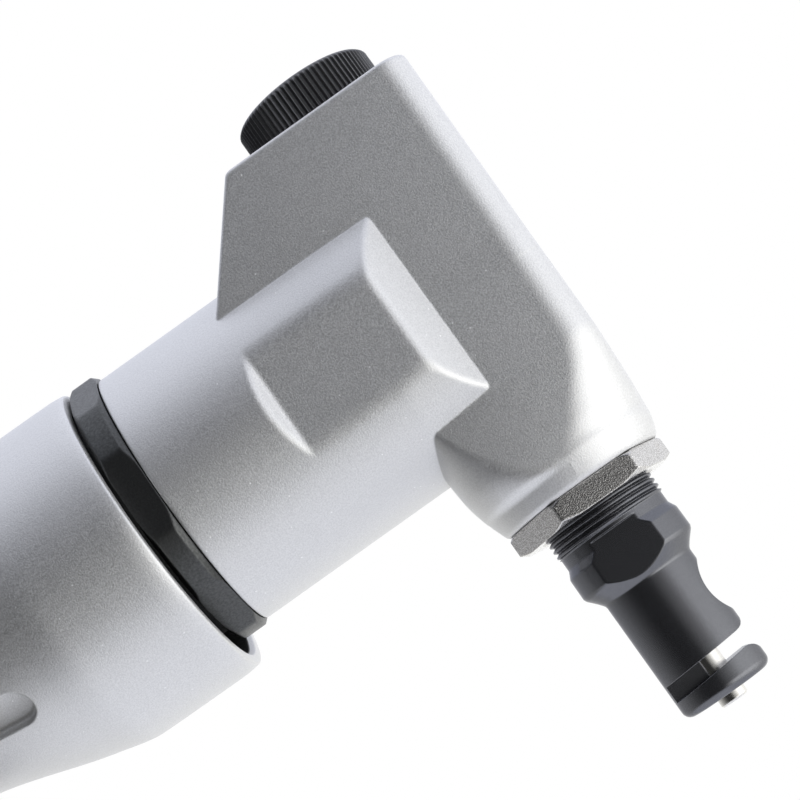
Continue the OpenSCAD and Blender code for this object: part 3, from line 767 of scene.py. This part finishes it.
def neck():
    """Round neck with side flats; it grows slimmer and a little higher into the block."""
    rear_edge = 0.4
    slimming_start = -14
    slimming_length = 11
    slimmer = 0.4
    higher = 0.35
    stations = [NECK_END + rear_edge * (1 - math.sin(math.radians(a))) for a in (90, 60, 40, 20, 0)]
    for start, end, step in ((-51.5, -34, 1.2), (-33.6, -29.6, 0.2), (-29, -9.6, 0.9),
                             (-9.2, -1.4, 0.2), (-1, 4, 0.8)):
        stations += spread(start, end, step)
    rings = []
    for x in stations:
        half = neck_half_width(x)
        share = max(0.0, (x - slimming_start) / slimming_length)
        behind = max(0.0, NECK_END + rear_edge - x)
        end = NECK_R - slimmer * share - rear_edge + math.sqrt(rear_edge ** 2 - behind ** 2)

        def radius(a, half=half, end=end):
            across = abs(math.sin(a))
            return soft_min(end, half / across, 0.7) if across > 0.3 else end
        rings.append(ring_x(x, radius, higher * share, count=288))
    return solid("neck", *loft(rings))


def revolve_x(name, chain):
    return solid(name, *loft([ring_x(x, r, count=96) for x, r in chain]))


def revolve_z(name, chain):
    return solid(name, *loft([ring_z(z, r, 96) for z, r in chain]))


def spigot():
    """Round tail of the head, inside the barrel."""
    chamfer = 0.3
    return revolve_x("spigot", [(SPIGOT_END + chamfer, SPIGOT_R - chamfer),
                                (SPIGOT_END + 2 * chamfer, SPIGOT_R), (NECK_END + 0.5, SPIGOT_R)])


def ram_bore():
    """Bore for the cap's thread, the upper bush, the ram, the lower bush and the die's thread."""
    cap_r = 11.3
    upper_bush_r = 12
    ram_r = 10.05
    lower_bush_r = 9
    die_r = THREAD_R + RUN_GAP
    above = 40
    below = -40
    return revolve_z("ram_bore", [
        (above, cap_r), (26.5, cap_r), (26.5, upper_bush_r), (10, upper_bush_r), (10, ram_r),
        (-13, ram_r), (-13, lower_bush_r), (-24.2, lower_bush_r), (-24.2, die_r), (below, die_r)])


def crank_bore():
    """Bore for the gears, the bearings with their circlip's groove, and the crank."""
    gear_r = 19
    seat_r = 14
    groove_r = 14.8
    crank_r = 9.3
    behind = -90
    return revolve_x("crank_bore", [
        (behind, gear_r), (-34, gear_r), (-34, seat_r), (-33.6, seat_r), (-33.6, groove_r),
        (-32.7, groove_r), (-32.7, seat_r), (-16.4, seat_r), (-16.4, crank_r), (-4, crank_r)])


def head_casting():
    made = neck()
    for part in (spigot, upper_block, lower_block):
        combine(made, part(), "UNION")
    for bore in (ram_bore, crank_bore):
        combine(made, bore(), "DIFFERENCE")
    install(made, "silver_paint", "housing", "head_housing", sharp=26)
    # Painted shade: the spigot behind the lock ring is darkened, partly as bare oily thread and
    # partly as the shade in the gap.
    coat_bore_and_paint_shade(made, lambda x, y, z: x < NECK_END + 0.15)


# Turned and milled steel

def lock_ring():
    """Thin hexagon with turned corners; its outside sits a little above its bore."""
    lift = 0.3
    corner_r = 24.0
    bore_r = SPIGOT_R + RUN_GAP
    lead = 0.3
    front = NECK_END - RUN_GAP
    flats = hexagon(22.85, 30.8, 0.2)
    outside = [(RING_END, corner_r - 0.9), (RING_END + 0.12, corner_r - 0.65),
               (RING_END + 0.7, corner_r - 0.05), (RING_END + 0.9, corner_r),
               (NECK_END - 0.92, corner_r), (NECK_END - 0.82, corner_r - 0.04),
               (NECK_END - 0.1, corner_r - 0.72), (front, corner_r - 0.85)]
    rings = []
    for x, r in along_chain(outside, 0.2):
        rings.append(ring_x(x, lambda a, r=r: soft_min(flats(a), r, 0.15), lift, count=288))
    for x, r in ((front, bore_r + lead), (front - lead, bore_r), (RING_END + lead, bore_r),
                 (RING_END, bore_r + lead)):
        rings.append(ring_x(x, r, count=288))
    made = solid("hex_lock_ring", *loft(rings, loop=True))
    install(made, "black_oxide", "housing", "lock_ring")
    made.data.materials[0] = RUBBED_BLACK


def lock_nut():
    top = NOSE_Z - 0.1
    low = top - 3.8
    flat_r = 12.5
    bore_r = THREAD_R + RUN_GAP
    lead_r = 10.5
    corner = flat_r / math.cos(math.radians(30))
    flats = hexagon(flat_r, 35.7, 0.12)
    outside = [(low, corner - 1.4), (low + 0.08, corner - 1.2), (low + 0.7, corner + 0.05),
               (top - 0.6, corner + 0.05), (top - 0.08, corner - 0.6), (top, corner - 0.8)]
    rings = []
    for z, r in along_chain(outside, 0.15):
        rings.append(ring_z(z, lambda a, r=r: soft_min(flats(a), r, 0.12), 288))
    for z, r in ((top, lead_r), (top - 0.6, bore_r), (low + 0.6, bore_r), (low, lead_r)):
        rings.append(ring_z(z, r, 288))
    made = solid("thin_lock_nut", *loft(rings, loop=True))
    install(made, "nickel", "housing", "lock_nut")


def top_cap():
    """Knurled cap: straight ridges that run out in a rounded top."""
    count = KNURLS * 8
    depth = 0.42
    rim = 0.9
    foot = BLOCK_TOP + 0.15
    high = 42.0
    thread_r = 11.25
    thread_low = 28
    groove_r = 9.7
    hollow_r = 7.5

    def ridged(outer, share):
        def radius(a):
            wave = 0.5 + 0.5 * math.cos(a * KNURLS)
            return outer - depth * share * (1 - wave ** 1.5)
        return radius

    rings = [ring_z(foot, ridged(CAP_R - 0.35, 0.4), count),
             ring_z(foot + 0.3, ridged(CAP_R - 0.05, 1.0), count)]
    for z in spread(BLOCK_TOP + 0.8, high - 0.3, 0.8):
        rings.append(ring_z(z, ridged(CAP_R, 1.0), count))
    for k in range(9):
        a = math.radians(90 * k / 8)
        share = max(0.0, 1 - k / 4)
        r = CAP_R - depth * (1 - share) * 0.6 - rim * (1 - math.cos(a))
        rings.append(ring_z(high + rim * math.sin(a), ridged(r, share), count))
    for r in (10.0, 7.0, 4.0, 1.5):
        rings.append(ring_z(high + rim, r, count))
    under = [ring_z(z, r, count) for z, r in (
        (foot, thread_r), (33.2, thread_r), (33.2, groove_r), (31, groove_r), (31, thread_r),
        (thread_low + 0.3, thread_r), (thread_low, thread_r - 0.3), (thread_low, hollow_r),
        (33, hollow_r), (33, 1.5))]
    made = solid("knurled_cap", *loft(under[::-1] + rings))
    install(made, "black_knurl", "housing", "top_cap", sharp=40)


# Die, with the height and radius of each corner of its turned outside
DIE_TOP = -24.3
THREAD_FOOT = -42.5
PITCH = 1.0
DIE_R = 7.9
FOOT_LOW = -73.75
FOOT_ROUND = 1.45
DIE_PROFILE = [(DIE_TOP, 9.2), (-24.9, THREAD_R), (THREAD_FOOT + 0.1, THREAD_R),
               (THREAD_FOOT - 0.2, 9.45), (-44.55, 9.45), (-44.7, 9.5), (-45.85, 10.08),
               (-46.0, 10.12), (-49.4, 10.15), (-49.55, 10.13), (-50.0, 9.92), (-50.12, 9.82),
               (-51.3, 8.75), (-51.45, 8.63), (-52.1, 8.12), (-52.3, 8.0), (-52.6, DIE_R),
               (FOOT_LOW + FOOT_ROUND, DIE_R)]


def die_radius(z):
    for (z0, r0), (z1, r1) in zip(DIE_PROFILE, DIE_PROFILE[1:]):
        if z1 <= z <= z0:
            return r0 + (r1 - r0) * (z0 - z) / (z0 - z1)
    return DIE_R


def die_section(z):
    """Radius rule of the die at a height: thread, pair of spanner flats and sight scallop."""
    body = die_radius(z)
    root_r = THREAD_R - 0.6
    ridge_height = 0.72
    flank = 1.15
    crest = 0.84
    flat = 8.5
    flat_turn = math.radians(-2.6)
    flat_low = -52.6
    flat_top = -43.35
    scallop_x = 14.0
    scallop_z = -59
    scallop_r = 7.7
    off = abs(z - scallop_z)
    scoop = scallop_x - math.sqrt(scallop_r ** 2 - off ** 2) if off < scallop_r else None

    def radius(a):
        r = body
        if z > THREAD_FOOT:
            turn = (z / PITCH + a / (2 * math.pi)) % 1.0
            ridge = 1 - abs(2 * turn - 1)
            r = min(r, root_r + ridge_height * min(ridge * flank, crest))
        across = abs(math.sin(a - flat_turn))
        if flat_low < z < flat_top and across > 0.3:
            r = soft_min(r, flat / across, 0.06)
        if scoop is not None and math.cos(a) > 0.25:
            r = soft_min(r, scoop / math.cos(a), 0.1)
        return r
    return radius


def slot_cutter():
    """Sheet slot whose faces turn over in rounds at the front, with the web left behind."""
    web = 2.2
    outline = [(-9.5, -67.84), (6.0, -66.72), (6.7, -66.6), (7.2, -66.38), (7.6, -65.98),
               (7.85, -65.5), (8.0, -64.9), (9.6, -63.4), (9.6, -71.3), (8.1, -71.2),
               (7.8, -70.75), (7.5, -70.25), (7.2, -69.92), (6.8, -69.66), (6.4, -69.5),
               (5.9, -69.4), (-9.5, -70.78)]
    made = solid("slot_cutter", *loft([[(x, y, z) for x, z in outline] for y in (-9.5, 9.5)]))
    behind = solid("web_block", *loft([
        [(x, y, z) for y, z in ((-web, -60), (web, -60), (web, -80), (-web, -80))]
        for x in (-12, -1)]))
    combine(made, behind, "DIFFERENCE")
    return made


def die_body():
    count = 320
    guide_r = PUNCH_R + RUN_GAP
    guide_top = -47.5
    shank_r = 6.3
    heights = ([DIE_TOP, -24.6, -24.9] + spread(-25.2, -37.8, 0.3) + spread(-37.9, -42.6, 0.08)
               + spread(-42.7, -53, 0.12) + spread(-53.2, -72.2, 0.22))
    rings = [ring_z(z, die_section(z), count) for z in heights]
    for k in range(9):
        a = math.radians(90 * k / 8)
        rings.append(ring_z(FOOT_LOW + FOOT_ROUND * (1 - math.sin(a)),
                            DIE_R - FOOT_ROUND * (1 - math.cos(a)), count))
    inner = [ring_z(z, r, count) for z, r in (
        (FOOT_LOW, guide_r + 0.15), (FOOT_LOW + 0.15, guide_r), (guide_top, guide_r),
        (guide_top, shank_r), (DIE_TOP - 0.3, shank_r), (DIE_TOP, shank_r + 0.3))]
    made = solid("slotted_die", *loft(rings + inner, loop=True))
    combine(made, slot_cutter(), "DIFFERENCE")
    install(made, "black_oxide", "die", "die_body", sharp=34)


# Rear end

def inlet_bushing():
    """Hexagon bushing with its seal groove, airway and female pipe thread."""
    hex_end = -192.0
    corner_r = 12.8
    spigot_r = 8.95
    groove_r = 7.4
    airway_r = 4.4
    screen_r = 5.3
    screen_end = INLET_X + 12.9
    thread_end = INLET_X + 12.0
    thread_r = 5.75
    ridge_height = 0.5
    pitch = 1.34
    flats = hexagon(11.0, 30, 0.1)
    outside = [(INLET_X, 9.6), (INLET_X + 0.1, 11.0), (INLET_X + 1.3, corner_r),
               (hex_end - 0.8, corner_r), (hex_end - 0.05, 12.0), (hex_end, 10.6)]
    rings = []
    for x, r in along_chain(outside, 0.25):
        rings.append(ring_x(x, lambda a, r=r: soft_min(flats(a), r, 0.1), count=288))
    rings += [ring_x(x, r, count=288) for x, r in (
        (BARREL_END - 0.35, 10.6), (BARREL_END - RUN_GAP, 10.3), (BARREL_END - RUN_GAP, spigot_r),
        (-178.5, spigot_r), (-178.5, groove_r), (-176.3, groove_r), (-176.3, spigot_r),
        (-174.3, spigot_r), (-174, spigot_r - 0.35), (-174, airway_r),
        (screen_end, airway_r), (screen_end, screen_r), (thread_end, screen_r),
        (thread_end - 0.2, screen_r + 0.2))]
    for x in spread(thread_end - 0.4, INLET_X + 0.7, 0.17):
        def threaded(a, x=x):
            turn = (x / pitch + a / (2 * math.pi)) % 1.0
            return thread_r + ridge_height * abs(2 * turn - 1)
        rings.append(ring_x(x, threaded, count=288))
    rings += [ring_x(INLET_X + 0.5, 6.2, count=288), ring_x(INLET_X, 6.9, count=288)]
    made = solid("hex_inlet", *loft(rings, loop=True))
    install(made, "plated_steel", "housing", "inlet_bushing")


def valve_plug():
    """Screw plug with a rounded rim and a hexagon socket."""
    low = 15.3
    top = 23.6
    plug_r = 6.55
    socket = hexagon(3.03, 30, 0.05)
    profile = ((low, plug_r - 0.25), (low + 0.3, plug_r), (top - 0.5, plug_r),
               (top - 0.25, plug_r - 0.1), (top - 0.05, plug_r - 0.35), (top, plug_r - 0.65),
               (top, 3.9), (top - 0.25, socket), (top - 2.8, socket))
    made = solid("socket_plug", *loft([ring_z(z, r, 96, VALVE_X) for z, r in profile]))
    install(made, "black_screw", "housing", "valve_plug")


def valve_spring():
    """Coil spring under the plug; the real one closes up as the stem rises, but this one is built
    at one fixed length.
    """
    low = -2.2
    high = 15.0
    coil_r = 3.1
    wire_r = 0.4
    turns = 6
    steps_a_turn = 36
    rings = []
    for t in spread(0, 1, 1 / (turns * steps_a_turn)):
        a = 2 * math.pi * t * turns
        z = low + wire_r + t * (high - low - 2 * wire_r)
        rings.append([(VALVE_X + (coil_r + wire_r * math.cos(b)) * math.cos(a),
                       (coil_r + wire_r * math.cos(b)) * math.sin(a), z + wire_r * math.sin(b))
                      for b in angles(12)])
    made = solid("coil_spring", *loft(rings))
    install(made, "screen_steel", None, "valve_spring")
    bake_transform(made)


LEVER_TURN = Matrix.Rotation(math.radians(10.5), 4, "Y")


def lever_point(x, y, z):
    p = LEVER_TURN @ Vector((x, y, z))
    return (LEVER_X + p.x, p.y, LEVER_Z + p.z)


def throttle_lever():
    """Pressed channel lever with a rolled tip."""
    half = 7.6
    wall = 1.9
    pin_r = 1.55
    outline = ([(-5, 1.5), (-4.6, 2.3), (-3, 2.6), (20, 2.6), (54, 2.6), (58, 2.2), (62, 0.8),
                (65.2, -1.5), (66.5, -3.2), (66.5, -4.5), (65.6, -5.2), (64, -5.1), (58, -4.0),
                (30, -3.75), (10, -3.6), (3, -4.4), (0, -4.5), (-3, -4), (-4.6, -2.6), (-5, -1.5)])
    rings = []
    for y, inset in ((-half, 0.5), (-half + 0.15, 0.15), (-half + 0.5, 0), (half - 0.5, 0),
                     (half - 0.15, 0.15), (half, 0.5)):
        ring = []
        for i, (x, z) in enumerate(outline):
            x0, z0 = outline[i - 1]
            x1, z1 = outline[(i + 1) % len(outline)]
            out = Vector((-(z1 - z0), x1 - x0)).normalized()
            ring.append(lever_point(x - inset * out.x, y, z - inset * out.y))
        rings.append(ring)
    made = solid("channel_lever", *loft(rings))
    inner = half - wall
    hollow = (8, 58, -1.6, 8)
    fork = (-10, 8.01, -10, 10)
    for x0, x1, z0, z1 in (hollow, fork):
        corners = [(x0, -inner), (x1, -inner), (x1, inner), (x0, inner)]
        cutter = solid("channel", *loft([[lever_point(x, y, z) for x, y in corners]
                                         for z in (z0, z1)]))
        combine(made, cutter, "DIFFERENCE")
    pin_hole = solid("pin_hole", *loft([
        [lever_point(pin_r * math.cos(a), y, pin_r * math.sin(a)) for a in angles(48)]
        for y in (-10, 10)]))
    combine(made, pin_hole, "DIFFERENCE")
    install(made, "lever_black", "lever", "throttle_lever")


# Studio

def look_at_photo():
    """The camera of the photograph, solved from the outline of the head."""
    place = Vector((0.19385, -0.35322, -0.06044))
    right = Vector((0.81474, 0.09621, -0.57178))
    up = Vector((0.5797, -0.11473, 0.80672))
    back = Vector((0.01202, -0.98873, -0.14925))
    lens = bpy.data.cameras.new("photo_camera")
    lens.lens = 101.59
    lens.sensor_width = 36.0
    lens.clip_start = 0.01
    lens.clip_end = 10.0
    camera = bpy.data.objects.new("photo_camera", lens)
    bpy.context.collection.objects.link(camera)
    turn = Matrix((right, up, back)).transposed()
    camera.matrix_world = Matrix.Translation(place) @ turn.to_4x4()
    bpy.context.scene.camera = camera


def window(tree, value, low_out, low_in, high_in, high_out):
    """1 between the inner limits, falling smoothly to 0 at the outer ones."""
    rise = remap(tree, value, low_out, low_in, smooth=True)
    fall = remap(tree, value, high_in, high_out, 1.0, 0.0, smooth=True)
    return maths(tree, "MULTIPLY", rise, fall)


# Each window's limits in degrees, first round from the camera's side and then upward, as
# outer, inner, inner, outer
DARK_SIDE = ((-190, -38, 20, 58), (-86, -28, 17, 88))
FILL = ((0, 35, 120, 170), (-90, -55, -20, 0))
LAMP = ((-10, 25, 74, 134), (-60, -20, -14, 8))
SURROUND_LIGHT = 1.19
DARK_LIGHT = 0.035
LAMP_LIGHT = 1.16
WARM_LOW = (1.0, 1.0, 0.985)
COOL_HIGH = (0.915, 0.945, 1.055)
COOL_FROM = -8
COOL_UP_TO = 24


def studio_world():
    """White surround with a dark camera side, as the photograph's shading tells."""
    world = bpy.data.worlds.new("white_studio")
    bpy.context.scene.world = world
    world.use_nodes = True
    tree = world.node_tree
    tree.nodes.clear()
    direction = add_node(tree, "ShaderNodeTexCoord").outputs["Generated"]
    parts = add_node(tree, "ShaderNodeSeparateXYZ", {0: direction}).outputs
    forward = maths(tree, "MULTIPLY", parts["Y"], -1.0)
    azimuth = maths(tree, "DEGREES", maths(tree, "ARCTAN2", parts["X"], forward))
    elevation = maths(tree, "DEGREES", maths(tree, "ARCSINE", parts["Z"]))
    dark, fill, lamp = [maths(tree, "MULTIPLY", window(tree, azimuth, *across),
                              window(tree, elevation, *upward))
                        for across, upward in (DARK_SIDE, FILL, LAMP)]
    shaded = maths(tree, "MULTIPLY", dark, remap(tree, fill, 0.0, 1.0, 1.0, 0.0))
    light = maths(tree, "ADD", remap(tree, shaded, 0.0, 1.0, SURROUND_LIGHT, DARK_LIGHT),
                  maths(tree, "MULTIPLY", lamp, LAMP_LIGHT))
    height = remap(tree, elevation, COOL_FROM, COOL_UP_TO, smooth=True)
    tint = blend_colour(tree, height, rgb(*WARM_LOW), rgb(*COOL_HIGH))
    seen = add_node(tree, "ShaderNodeLightPath").outputs["Is Camera Ray"]
    surround = add_node(tree, "ShaderNodeBackground", {"Color": tint, "Strength": light})
    white = add_node(tree, "ShaderNodeBackground", {"Color": rgb(1, 1, 1), "Strength": 1.0})
    mixed = add_node(tree, "ShaderNodeMixShader", {0: seen, 1: surround.outputs[0],
                                                   2: white.outputs[0]})
    add_node(tree, "ShaderNodeOutputWorld", {"Surface": mixed.outputs[0]})


FLOOR_PLACE = (0.12, 0.0, -0.25)
FLOOR_R = 0.36
FLOOR_FADE = (0.15, 0.34)
FLOOR_GLOW = 0.32


def floor_card():
    """White card that takes the shadow, with a glow that only the eye and reflections see."""
    made, tree = new_material("pale_floor")
    place = add_node(tree, "ShaderNodeTexCoord").outputs["Object"]
    away = add_node(tree, "ShaderNodeVectorMath", {0: place}, operation="LENGTH").outputs["Value"]
    grain = add_node(tree, "ShaderNodeTexNoise", {"Vector": place, "Scale": 900.0})
    tone = blend_colour(tree, grain.outputs[0], rgb(0.88, 0.88, 0.88), rgb(0.93, 0.93, 0.93))
    ray = add_node(tree, "ShaderNodeLightPath").outputs
    seen = maths(tree, "MAXIMUM", ray["Is Camera Ray"],
                 maths(tree, "MAXIMUM", ray["Is Glossy Ray"], ray["Is Transmission Ray"]))
    card = add_node(tree, "ShaderNodeBsdfPrincipled",
                    {"Base Color": tone, "Roughness": 0.6, "Emission Color": rgb(1, 1, 1),
                     "Emission Strength": maths(tree, "MULTIPLY", seen, FLOOR_GLOW),
                     "Alpha": remap(tree, away, *FLOOR_FADE, 1.0, 0.0, smooth=True)})
    add_node(tree, "ShaderNodeOutputMaterial", {"Surface": card.outputs[0]})
    return made


def pale_floor():
    """A round white table top under the tool, faded out at its edge."""
    mesh = bpy.data.meshes.new("floor")
    shape = bmesh.new()
    bmesh.ops.create_circle(shape, cap_ends=True, segments=96, radius=FLOOR_R)
    shape.to_mesh(mesh)
    shape.free()
    made = bpy.data.objects.new("floor", mesh)
    made.location = FLOOR_PLACE
    bpy.context.collection.objects.link(made)
    mesh.materials.append(floor_card())


def dress_frame():
    """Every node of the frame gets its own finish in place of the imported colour."""
    for part in frame["record"]["subparts"]:
        item = frame["nodes"][part["node"]]
        item.data.materials.clear()
        item.data.materials.append(FINISHES[part["material_slot"]])


look_at_photo()
studio_world()
pale_floor()
dress_frame()
for piece_maker in (barrel_shell, head_casting, lock_ring, lock_nut, top_cap, die_body,
                    inlet_bushing, valve_plug, valve_spring, throttle_lever):
    piece_maker()
